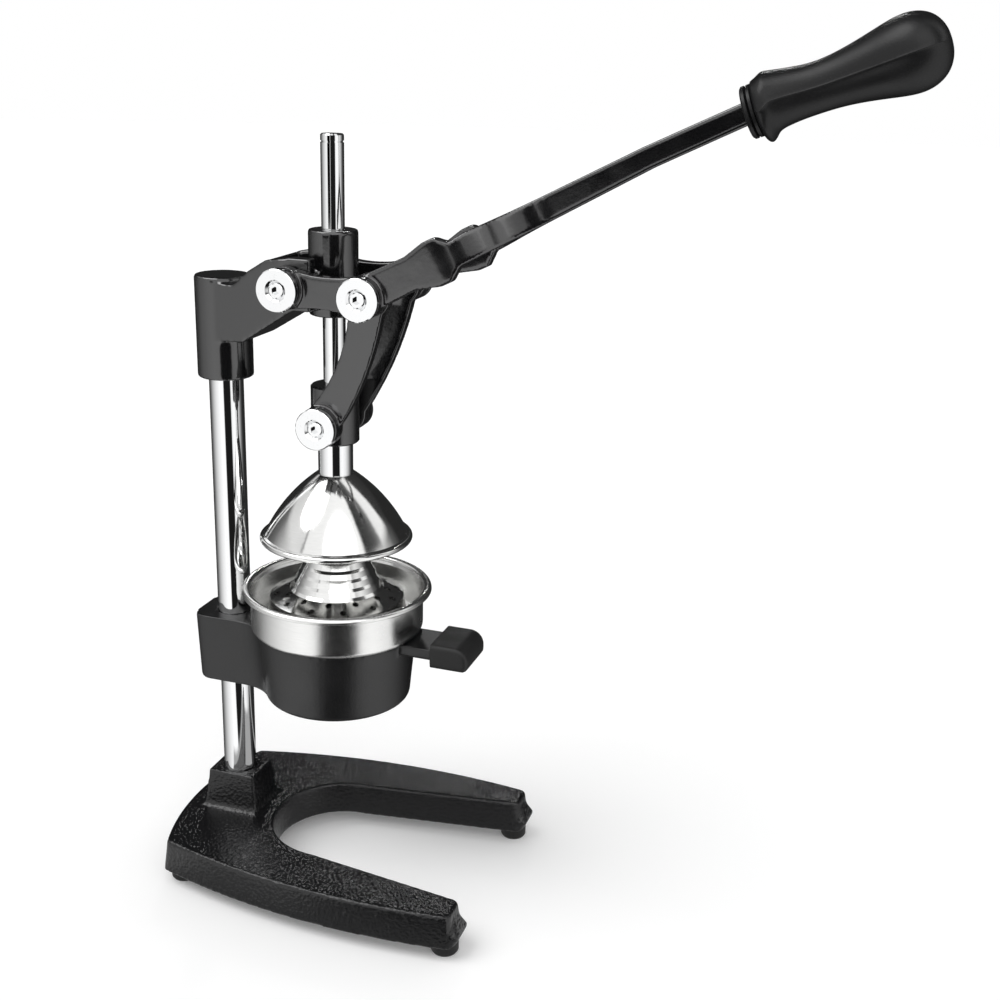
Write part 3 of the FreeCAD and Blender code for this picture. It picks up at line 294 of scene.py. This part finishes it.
def painted(name, colour, pebbles, waves, share, depth, least, most, specular=0.5, coat=0.0):
    """Black paint, rubber or plastic: the scales and depth of its skin, and its range of roughness."""
    material, shader = new_material(name)
    if shader is not None:
        skin = place_group(shader, "Paint skin", Pebbles=pebbles, Waves=waves, Pebble_share=share)
        marks = place_group(shader, "Handling", Scale=25.0, Least=least, Most=most)
        tone = tinted(shader, colour, marks.outputs["Dust"], lift=DUST_LIFT)
        close_material(shader, tone, marks.outputs["Roughness"], skin.outputs["Height"], depth,
                       specular=specular, coat=coat)
    return material


def hammered_enamel():
    colour = bpy.context.scene.press_finish.enamel
    return painted("Hammered enamel", colour, pebbles=480.0, waves=90.0, share=0.9, depth=0.55 * MM,
                   least=0.05, most=0.09)


def gloss_enamel():
    colour = bpy.context.scene.press_finish.enamel
    return painted("Gloss enamel", colour, pebbles=420.0, waves=55.0, share=0.12, depth=0.2 * MM,
                   least=0.10, most=0.2, specular=0.8, coat=0.8)


def satin_enamel():
    colour = bpy.context.scene.press_finish.enamel
    return painted("Satin enamel", colour, pebbles=900.0, waves=120.0, share=0.6, depth=0.08 * MM,
                   least=0.28, most=0.4, specular=0.6)


def soft_rubber():
    colour = bpy.context.scene.press_finish.rubber
    return painted("Soft rubber", colour, pebbles=1500.0, waves=200.0, share=0.8, depth=0.05 * MM,
                   least=0.42, most=0.6)


def grip_plastic():
    colour = bpy.context.scene.press_finish.plastic
    return painted("Grip plastic", colour, pebbles=1300.0, waves=90.0, share=0.7, depth=0.06 * MM,
                   least=0.3, most=0.42, specular=0.3)


def bright_chrome():
    material, shader = new_material("Bright chrome")
    if shader is not None:
        marks = place_group(shader, "Handling", Scale=60.0, Least=0.03, Most=0.07)
        skin = place_group(shader, "Paint skin", Pebbles=150.0, Waves=30.0, Pebble_share=0.1)
        tone = tinted(shader, bpy.context.scene.press_finish.chrome, marks.outputs["Dust"], lift=0.9)
        close_material(shader, tone, marks.outputs["Roughness"], skin.outputs["Height"], 0.01 * MM,
                       metallic=1.0)
    return material


def turned_steel(name, lines, depth, least, most):
    """Stainless steel: the scale and depth of its turning lines, and its range of roughness."""
    material, shader = new_material(name)
    if shader is not None:
        turning = place_group(shader, "Turning lines", Lines=lines)
        marks = place_group(shader, "Handling", Scale=40.0, Least=least, Most=most)
        tone = tinted(shader, bpy.context.scene.press_finish.steel, turning.outputs["Tone"], lift=1.08)
        close_material(shader, tone, marks.outputs["Roughness"], turning.outputs["Height"], depth,
                       metallic=1.0)
    return material


def polished_steel():
    return turned_steel("Polished steel", lines=2500.0, depth=0.01 * MM, least=0.07, most=0.13)


def brushed_steel():
    return turned_steel("Brushed steel", lines=3200.0, depth=0.02 * MM, least=0.2, most=0.3)


def plain_steel():
    return turned_steel("Plain steel", lines=1800.0, depth=0.02 * MM, least=0.25, most=0.4)


# Pieces

# Points of a frame node's mesh that lie closer than this are one.
WELD = 0.01 * MM


def choose_only(item):
    """Make an object the only selected one, and the active one."""
    if bpy.context.object is not None and bpy.context.object.mode != "OBJECT":
        bpy.ops.object.mode_set(mode="OBJECT")
    bpy.ops.object.select_all(action="DESELECT")
    item.select_set(True)
    bpy.context.view_layer.objects.active = item


def dress(item, material):
    item.data.materials.clear()
    item.data.materials.append(material)


def dress_node(node, material):
    """Give a frame node that keeps its shape its finish."""
    dress(NODES[node], material)


def copy_of(node, name):
    """A merged copy of a frame node, to be worked on."""
    choose_only(NODES[node])
    bpy.ops.object.duplicate()
    piece = bpy.context.object
    piece.name = name
    piece.data.name = name
    piece.parent = None
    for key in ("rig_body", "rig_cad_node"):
        if key in piece:
            del piece[key]
    bpy.ops.object.mode_set(mode="EDIT")
    bpy.ops.mesh.select_all(action="SELECT")
    bpy.ops.mesh.remove_doubles(threshold=WELD)
    bpy.ops.object.mode_set(mode="OBJECT")
    bpy.ops.mesh.customdata_custom_splitnormals_clear()
    return piece


def apply_modifier(piece, kind, **settings):
    choose_only(piece)
    modifier = piece.modifiers.new(kind.title(), kind)
    for name, value in settings.items():
        setattr(modifier, name, value)
    bpy.ops.object.modifier_apply(modifier=modifier.name)


def stand_for(piece, node, material):
    """Finish a piece that takes a node's place in the look."""
    dress(piece, material)
    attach(piece, BODY_OF[node])
    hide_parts(node)


def soft_casting(node, name, material, grain=None, rounds=None):
    """The casting with its edges rounded over, as sand moulding and thick paint leave them."""
    sizes = bpy.context.scene.press_casting
    piece = copy_of(node, name)
    apply_modifier(piece, "REMESH", mode="VOXEL", voxel_size=grain or sizes.grain, use_smooth_shade=True)
    apply_modifier(piece, "SMOOTH", factor=0.5, iterations=sizes.softening if rounds is None else rounds)
    choose_only(piece)
    bpy.ops.object.shade_smooth()
    stand_for(piece, node, material)


class PRESS_OT_castings(bpy.types.Operator):
    """Base, bowl holder and head, with softened edges and black enamel"""

    bl_idname = "press.castings"
    bl_label = "Castings"

    def execute(self, context):
        soft_casting("base", "base_casting", hammered_enamel(), grain=1.2 * MM)
        soft_casting("bowl_holder", "holder_casting", satin_enamel())
        soft_casting("head", "head_casting", gloss_enamel())
        return {"FINISHED"}


class PRESS_OT_levers(bpy.types.Operator):
    """Forked lever and the two bowed rods"""

    bl_idname = "press.levers"
    bl_label = "Lever and rods"

    def execute(self, context):
        soft_casting("lever", "lever_casting", gloss_enamel(), grain=0.9 * MM)
        for side in ("left", "right"):
            soft_casting(f"rod_{side}", f"bowed_rod_{side}", gloss_enamel(), grain=0.8 * MM)
        dress_node("crosshead", gloss_enamel())
        return {"FINISHED"}


# Rings of the grip in millimetres: how far along it, its reach above the axis and its reach below.
GRIP_RINGS = [
    (0.0, 13.6, 13.6), (0.0, 15.6, 15.9), (1.6, 16.0, 18.9), (3.6, 16.8, 19.3), (5.6, 17.9, 17.6),
    (7.2, 18.4, 15.8), (9.0, 18.2, 14.6), (13.0, 17.2, 13.8), (21.0, 15.5, 13.2), (31.0, 13.7, 13.3),
    (41.0, 13.7, 13.7), (51.0, 15.0, 15.0), (61.0, 16.9, 16.9), (70.5, 19.1, 19.1), (79.5, 20.9, 20.9),
    (87.0, 20.7, 20.7), (93.3, 18.5, 18.5), (98.2, 14.6, 14.6), (101.4, 9.0, 9.0), (102.6, 3.4, 3.4)]
GRIP_SIDES = 24

# The ridge where the two halves of the grip's mould met.
RIDGE_WIDTH = 0.9 * MM
RIDGE_HEIGHT = 0.55 * MM
RIDGE_CREASE = 0.7

# The edges that it is raised from: how far out to the side they lie at least, how near to the
# middle of the side, and how far along the grip each one reaches at least.
RIDGE_OUT = 11 * MM
RIDGE_NEAR = 0.05 * MM
RIDGE_STEP = 0.5 * MM


def ring_step(along, above, below, before):
    """Extrude the chosen outline to the grip's next ring."""
    radius, lift = (above + below) / 2, (above - below) / 2
    bpy.ops.mesh.extrude_region_move(TRANSFORM_OT_translate={
        "value": (0, (lift - before["lift"]) * MM, (along - before["along"]) * MM)})
    share = radius / before["radius"]
    bpy.ops.transform.resize(value=(share, share, 1), center_override=(0, lift * MM, along * MM))
    before.update(radius=radius, lift=lift, along=along)


def side_line(along):
    """How far the middle of the grip's side lies above its axis, at a place along it."""
    slack = 0.001 * MM
    rings = [(place * MM, (above - below) / 2 * MM) for place, above, below in GRIP_RINGS[1:]]
    for (start, low), (end, high) in zip(rings, rings[1:]):
        if start - slack <= along <= end + slack and end > start:
            return low + (high - low) * (along - start) / (end - start)
    return 0.0


def on_side_line(edge, side):
    """Whether an edge runs along the middle of one of the grip's sides."""
    start, end = edge.verts
    near = all(
        vert.co.x * side > RIDGE_OUT and abs(vert.co.y - side_line(vert.co.z)) < RIDGE_NEAR
        for vert in (start, end))
    return near and abs(start.co.z - end.co.z) > RIDGE_STEP


def select_side_line(piece, side):
    """In edit mode, select just the edges along the middle of one of the grip's sides."""
    mesh = bmesh.from_edit_mesh(piece.data)
    for item in (*mesh.verts, *mesh.edges, *mesh.faces):
        item.select = False
    for edge in mesh.edges:
        if on_side_line(edge, side):
            edge.select_set(True)
    bmesh.update_edit_mesh(piece.data)


def parting_ridge(piece):
    """Raise the seam where the two halves of the grip's mould met, along each side."""
    bpy.ops.mesh.select_mode(type="EDGE")
    for side in (1, -1):
        select_side_line(piece, side)
        bpy.ops.mesh.bevel(offset=RIDGE_WIDTH, segments=2, profile=0.5)
        select_side_line(piece, side)
        bpy.ops.transform.translate(value=(RIDGE_HEIGHT * side, 0, 0))
        bpy.ops.transform.edge_crease(value=RIDGE_CREASE)


def grip_place():
    """The middle of the grip's collar, and the direction in which the grip points from it."""
    mount = next(item for item in frame["record"]["mounts"] if item["name"] == "hand_grip")
    axis = Vector(mount["axis"]).normalized()
    low, high = (Vector(corner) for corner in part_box("grip_collar"))
    return (low + high) / 2, axis


class PRESS_OT_grip(bpy.types.Operator):
    """Moulded hand grip with its finger lip and parting ridge, and its collar"""

    bl_idname = "press.grip"
    bl_label = "Grip"

    def execute(self, context):
        bpy.ops.object.select_all(action="DESELECT")
        before = {"along": 0.0, "radius": (GRIP_RINGS[0][1] + GRIP_RINGS[0][2]) / 2, "lift": 0.0}
        bpy.ops.mesh.primitive_circle_add(
            vertices=GRIP_SIDES, radius=before["radius"] * MM, fill_type="NGON", location=(0, 0, 0))
        piece = context.object
        piece.name = "hand_grip"
        bpy.ops.object.mode_set(mode="EDIT")
        for along, above, below in GRIP_RINGS[1:]:
            ring_step(along, above, below, before)
        parting_ridge(piece)
        bpy.ops.mesh.select_all(action="SELECT")
        bpy.ops.mesh.normals_make_consistent(inside=False)
        bpy.ops.object.mode_set(mode="OBJECT")
        apply_modifier(piece, "SUBSURF", levels=2, render_levels=2)
        centre, axis = grip_place()
        half_collar = context.scene.press_casting.collar / 2
        turn = math.atan2(-axis.y, axis.z)
        piece.matrix_world = Matrix.Translation(centre + axis * half_collar) @ Matrix.Rotation(turn, 4, "X")
        choose_only(piece)
        bpy.ops.object.transform_apply(location=True, rotation=True, scale=True)
        bpy.ops.object.shade_smooth()
        stand_for(piece, "grip", grip_plastic())
        dress_node("grip_collar", grip_plastic())
        return {"FINISHED"}


class PRESS_OT_bright_parts(bpy.types.Operator):
    """Chromed column, rod, sleeve, caps and cap screws"""

    bl_idname = "press.bright_parts"
    bl_label = "Chromed parts"

    def execute(self, context):
        for node, slot in SLOT_OF.items():
            if slot == "chrome":
                dress_node(node, bright_chrome())
        return {"FINISHED"}


class PRESS_OT_juice_parts(bpy.types.Operator):
    """Dome, bowl, strainer and funnel of stainless sheet"""

    bl_idname = "press.juice_parts"
    bl_label = "Dome, bowl and strainer"

    def execute(self, context):
        dress_node("dome", polished_steel())
        dress_node("bowl", brushed_steel())
        dress_node("strainer", polished_steel())
        dress_node("funnel", brushed_steel())
        dress_node("dome_screw", plain_steel())
        return {"FINISHED"}


class PRESS_OT_rubber_parts(bpy.types.Operator):
    """Feet and the soft tip of the holder's tang"""

    bl_idname = "press.rubber_parts"
    bl_label = "Rubber parts"

    def execute(self, context):
        soft_casting("holder_tip", "tang_tip", soft_rubber(), grain=0.7 * MM, rounds=4)
        for node in NODES:
            if node.startswith("foot_") and node != "foot_screws":
                dress_node(node, soft_rubber())
        return {"FINISHED"}


class PRESS_OT_hidden_steel(bpy.types.Operator):
    """Screws, axle, studs and pin of plain steel"""

    bl_idname = "press.hidden_steel"
    bl_label = "Plain steel parts"

    def execute(self, context):
        for node, slot in SLOT_OF.items():
            if slot == "plain_steel":
                dress_node(node, plain_steel())
        return {"FINISHED"}


# Stage

FLOOR_RADIUS = 9.0

# How far behind the press axis the middle of the boards lies, near the column.
BOARDS_BACK = 0.04

# By the height of a direction, from level at 0 to upright at 1: where the higher boards take over
# from the lower ones, and where the far gap closes.
HIGH_START = [(0.34, 0.0), (0.44, 1.0)]
GAP_CLOSE = [(0.06, 1.0), (0.12, 0.0)]

# How far out on the floor the far gap opens, as a share of this many metres.
GAP_SCALE = 10.0
GAP_OPEN = [(0.28, 0.0), (0.36, 1.0)]

# The floor right round the base, which is painted darker in reflections as the shade there: its reach
# to the sides, to the front and to the back, its tone of painted shade in the boards' place, and how it
# fades at its edge, as a share of the reach.
BESIDE_SIDE, BESIDE_FRONT, BESIDE_BACK = 0.155, 0.145, 0.125
BESIDE_SHADE_TONE = 0.35
BESIDE_EDGE = [(0.9, 1.0), (1.0, 0.0)]

# Each lamp's name, the direction it stands in, its share of the key light and its width in degrees.
LAMPS = (
    ("key", (-0.35, 0.55, 1.0), 1.0, 40),
    ("fill", (-1.0, -0.6, 0.9), 0.35, 50),
    ("back", (0.95, 0.3, 0.62), 0.09, 4),
)


def around_camera(shader, place):
    """The bearing of a direction or place, as 0 to 1, with 0.5 towards the camera."""
    axes = shader.add("ShaderNodeSeparateXYZ", Vector=place)
    front = (-CAMERA_UP.x, -CAMERA_UP.y)
    length = math.hypot(*front)
    towards = (front[0] / length, front[1] / length)
    across = (CAMERA_RIGHT.x, CAMERA_RIGHT.y)

    def along(direction):
        part = shader.math("MULTIPLY", axes.outputs["X"], direction[0])
        return shader.math("MULTIPLY_ADD", axes.outputs["Y"], direction[1], part)

    bearing = shader.math("ARCTAN2", along(across), along(towards))
    return shader.math("MULTIPLY_ADD", bearing, 0.5 / math.pi, 0.5)


def turn_ramp(shader, place, stops):
    """Tones by bearing round the press, in degrees from -180 to 180, with 0 towards the camera."""
    shares = [(bearing / 360 + 0.5, tone) for bearing, tone in stops]
    return shader.ramp(around_camera(shader, place), shares)


def low_boards(shader, place):
    """Pale reflector boards at the sides with a dark gap before the press, for upright surfaces."""
    return turn_ramp(shader, place, [
        (-138, 0.02), (-113, 0.15), (-88, 0.5), (-63, 0.8), (-38, 1.0), (-14, 1.0), (-10, 0.01),
        (33, 0.01), (37, 0.9), (52, 1.0), (72, 0.85), (92, 0.5), (112, 0.1), (128, 0.02)])


def far_gap(shader, place):
    """The gap between the far boards that the lever's bar mirrors."""
    return turn_ramp(shader, place, [(-44, 0.0), (-39, 1.0), (-16, 1.0), (-13, 0.0)])


def high_boards(shader, place):
    """The boards that hang higher, for surfaces that lean back, such as the dome."""
    return turn_ramp(shader, place, [
        (-180, 0.15), (-176, 0.15), (-172, 0.02), (-139, 0.02), (-131, 0.6), (-75, 0.75), (-56, 0.7),
        (-53, 0.2), (-50, 0.88), (0, 0.95), (53, 0.97), (57, 0.03), (78, 0.08), (88, 0.2), (92, 0.85),
        (112, 0.9), (116, 0.04), (170, 0.02), (175, 0.15), (180, 0.15)])


class PRESS_OT_stage(bpy.types.Operator):
    """White floor, reflector boards, lamps and the camera"""

    bl_idname = "press.stage"
    bl_label = "Stage"

    def execute(self, context):
        self.world(context)
        self.floor(context)
        self.lamps(context)
        self.camera(context)
        context.scene.view_settings.view_transform = "Standard"
        return {"FINISHED"}

    def world(self, context):
        studio = context.scene.press_studio
        world = bpy.data.worlds.new("Studio")
        context.scene.world = world
        world.use_nodes = True
        shader = Shader(world.node_tree)
        place = shader.add("ShaderNodeTexCoord").outputs["Generated"]
        height = shader.add("ShaderNodeSeparateXYZ", Vector=place).outputs["Z"]
        raised = shader.ramp(height, HIGH_START)
        gap = shader.math("MULTIPLY", far_gap(shader, place), shader.ramp(height, GAP_CLOSE))
        low = self.boards_but_gap(shader, place, gap)
        seen = shader.add("ShaderNodeMix", i0=raised, i2=low, i3=high_boards(shader, place))
        path = shader.add("ShaderNodeLightPath")
        ambient = shader.add("ShaderNodeBackground", Color=(1, 1, 1, 1), Strength=studio.ambient)
        boards = shader.add("ShaderNodeBackground", Color=seen.outputs[0], Strength=studio.boards)
        backdrop = shader.add("ShaderNodeBackground", Color=(1, 1, 1, 1), Strength=1.0)
        bright = shader.math("MAXIMUM", path.outputs["Is Glossy Ray"], path.outputs["Is Transmission Ray"])
        lit = shader.add("ShaderNodeMixShader", i0=bright, i1=ambient.outputs[0], i2=boards.outputs[0])
        shown = shader.add("ShaderNodeMixShader", i0=path.outputs["Is Camera Ray"], i1=lit.outputs[0],
                           i2=backdrop.outputs[0])
        shader.add("ShaderNodeOutputWorld", Surface=shown.outputs[0])

    def boards_but_gap(self, shader, place, gap):
        """The low boards' tones, dark where the mask of the far gap is set."""
        return shader.math("MULTIPLY", low_boards(shader, place), shader.math("SUBTRACT", 1.0, gap))

    def floor(self, context):
        bpy.ops.mesh.primitive_circle_add(
            vertices=128, radius=FLOOR_RADIUS, fill_type="NGON", location=(0, 0, 0))
        floor = context.object
        floor.name = "floor"
        studio = context.scene.press_studio
        tone = studio.floor_tone
        material, shader = new_material("Floor")
        place = shader.add("ShaderNodeTexCoord").outputs["Object"]
        about = shader.add("ShaderNodeMapping", Vector=place, Location=(0, -BOARDS_BACK, 0)).outputs[0]
        far = shader.add("ShaderNodeVectorMath", {"operation": "LENGTH"}, i0=about).outputs["Value"]
        opened = shader.ramp(shader.math("DIVIDE", far, GAP_SCALE), GAP_OPEN)
        gap = shader.math("MULTIPLY", far_gap(shader, about), opened)
        # Seen in reflections the floor glows with the boards' tones: a painted reflection, not lamp light.
        bands = self.boards_but_gap(shader, about, gap)
        shade_mask = self.shade_beside_base(shader, place)
        # Right round the base the floor's reflected tone is painted darker, as painted shade.
        bands = shader.add("ShaderNodeMix", i0=shade_mask, i2=bands, i3=BESIDE_SHADE_TONE).outputs[0]
        path = shader.add("ShaderNodeLightPath")
        matt = shader.add("ShaderNodeBsdfDiffuse", Color=(tone, tone, tone, 1))
        glow = shader.add("ShaderNodeEmission", Color=(1, 1, 1, 1), Strength=studio.floor_glow)
        lifted = shader.add("ShaderNodeAddShader", i0=matt.outputs[0], i1=glow.outputs[0])
        # The floor's glow for glossy rays, which carries the painted reflection of the boards and the
        # painted shade beside the base.
        boards = shader.add("ShaderNodeEmission", Color=bands, Strength=studio.boards)
        seen = shader.math("MAXIMUM", path.outputs["Is Glossy Ray"], path.outputs["Is Transmission Ray"])
        shown = shader.add("ShaderNodeMixShader", i0=path.outputs["Is Camera Ray"], i1=matt.outputs[0],
                           i2=lifted.outputs[0])
        mix = shader.add("ShaderNodeMixShader", i0=seen, i1=shown.outputs[0], i2=boards.outputs[0])
        shader.add("ShaderNodeOutputMaterial", Surface=mix.outputs[0])
        dress(floor, material)

    def shade_beside_base(self, shader, place):
        """A mask of the floor right round the base, which its sides mirror, where the floor's reflected tone
        is painted darker as shade.
        """
        axes = shader.add("ShaderNodeSeparateXYZ", Vector=place)
        masks = []
        for letter, low, high in (("X", -BESIDE_SIDE, BESIDE_SIDE), ("Y", -BESIDE_FRONT, BESIDE_BACK)):
            middle, half = (low + high) / 2, (high - low) / 2
            share = shader.math("DIVIDE", shader.math("SUBTRACT", axes.outputs[letter], middle), half)
            masks.append(shader.ramp(shader.math("ABSOLUTE", share), BESIDE_EDGE))
        return shader.math("MULTIPLY", *masks)

    def lamps(self, context):
        key = context.scene.press_studio.key
        for name, direction, share, spread in LAMPS:
            lamp = bpy.data.lights.new(name, "SUN")
            lamp.energy = key * share
            lamp.angle = math.radians(spread)
            item = bpy.data.objects.new(name, lamp)
            context.scene.collection.objects.link(item)
            item.rotation_euler = Vector(direction).to_track_quat("Z", "Y").to_euler()

    def camera(self, context):
        data = bpy.data.cameras.new("camera")
        data.lens = CAMERA_LENS
        data.sensor_width = CAMERA_SENSOR
        camera = bpy.data.objects.new("camera", data)
        context.scene.collection.objects.link(camera)
        right = CAMERA_RIGHT * math.cos(CAMERA_ROLL) + CAMERA_UP * math.sin(CAMERA_ROLL)
        up = CAMERA_UP * math.cos(CAMERA_ROLL) - CAMERA_RIGHT * math.sin(CAMERA_ROLL)
        back = right.cross(up)
        turn = Matrix((right, up, back)).transposed().to_4x4()
        camera.matrix_world = Matrix.Translation(CAMERA_PLACE) @ turn
        context.scene.camera = camera


class PRESS_PT_panel(bpy.types.Panel):
    """The press's settings and its pieces"""

    bl_idname = "PRESS_PT_panel"
    bl_label = "Citrus press"
    bl_space_type = "VIEW_3D"
    bl_region_type = "UI"
    bl_category = "Citrus press"

    def draw(self, context):
        for group, _ in SETTINGS:
            settings = getattr(context.scene, group)
            for name in settings.bl_rna.properties.keys():
                if name not in ("rna_type", "name"):
                    self.layout.prop(settings, name)
        for operator in OPERATORS:
            self.layout.operator(operator.bl_idname)


OPERATORS = (
    PRESS_OT_castings,
    PRESS_OT_levers,
    PRESS_OT_grip,
    PRESS_OT_bright_parts,
    PRESS_OT_juice_parts,
    PRESS_OT_rubber_parts,
    PRESS_OT_hidden_steel,
    PRESS_OT_stage,
)
SETTINGS = (
    ("press_casting", CastingSettings),
    ("press_finish", FinishSettings),
    ("press_studio", StudioSettings),
)


def register():
    for name, group in SETTINGS:
        bpy.utils.register_class(group)
        setattr(bpy.types.Scene, name, bpy.props.PointerProperty(type=group))
    for operator in OPERATORS:
        bpy.utils.register_class(operator)
    bpy.utils.register_class(PRESS_PT_panel)


def unregister():
    bpy.utils.unregister_class(PRESS_PT_panel)
    for operator in reversed(OPERATORS):
        bpy.utils.unregister_class(operator)
    for name, group in reversed(SETTINGS):
        delattr(bpy.types.Scene, name)
        bpy.utils.unregister_class(group)


def main():
    register()
    for operator in OPERATORS:
        family, name = operator.bl_idname.split(".")
        getattr(getattr(bpy.ops, family), name)()


if __name__ == "__main__":
    main()
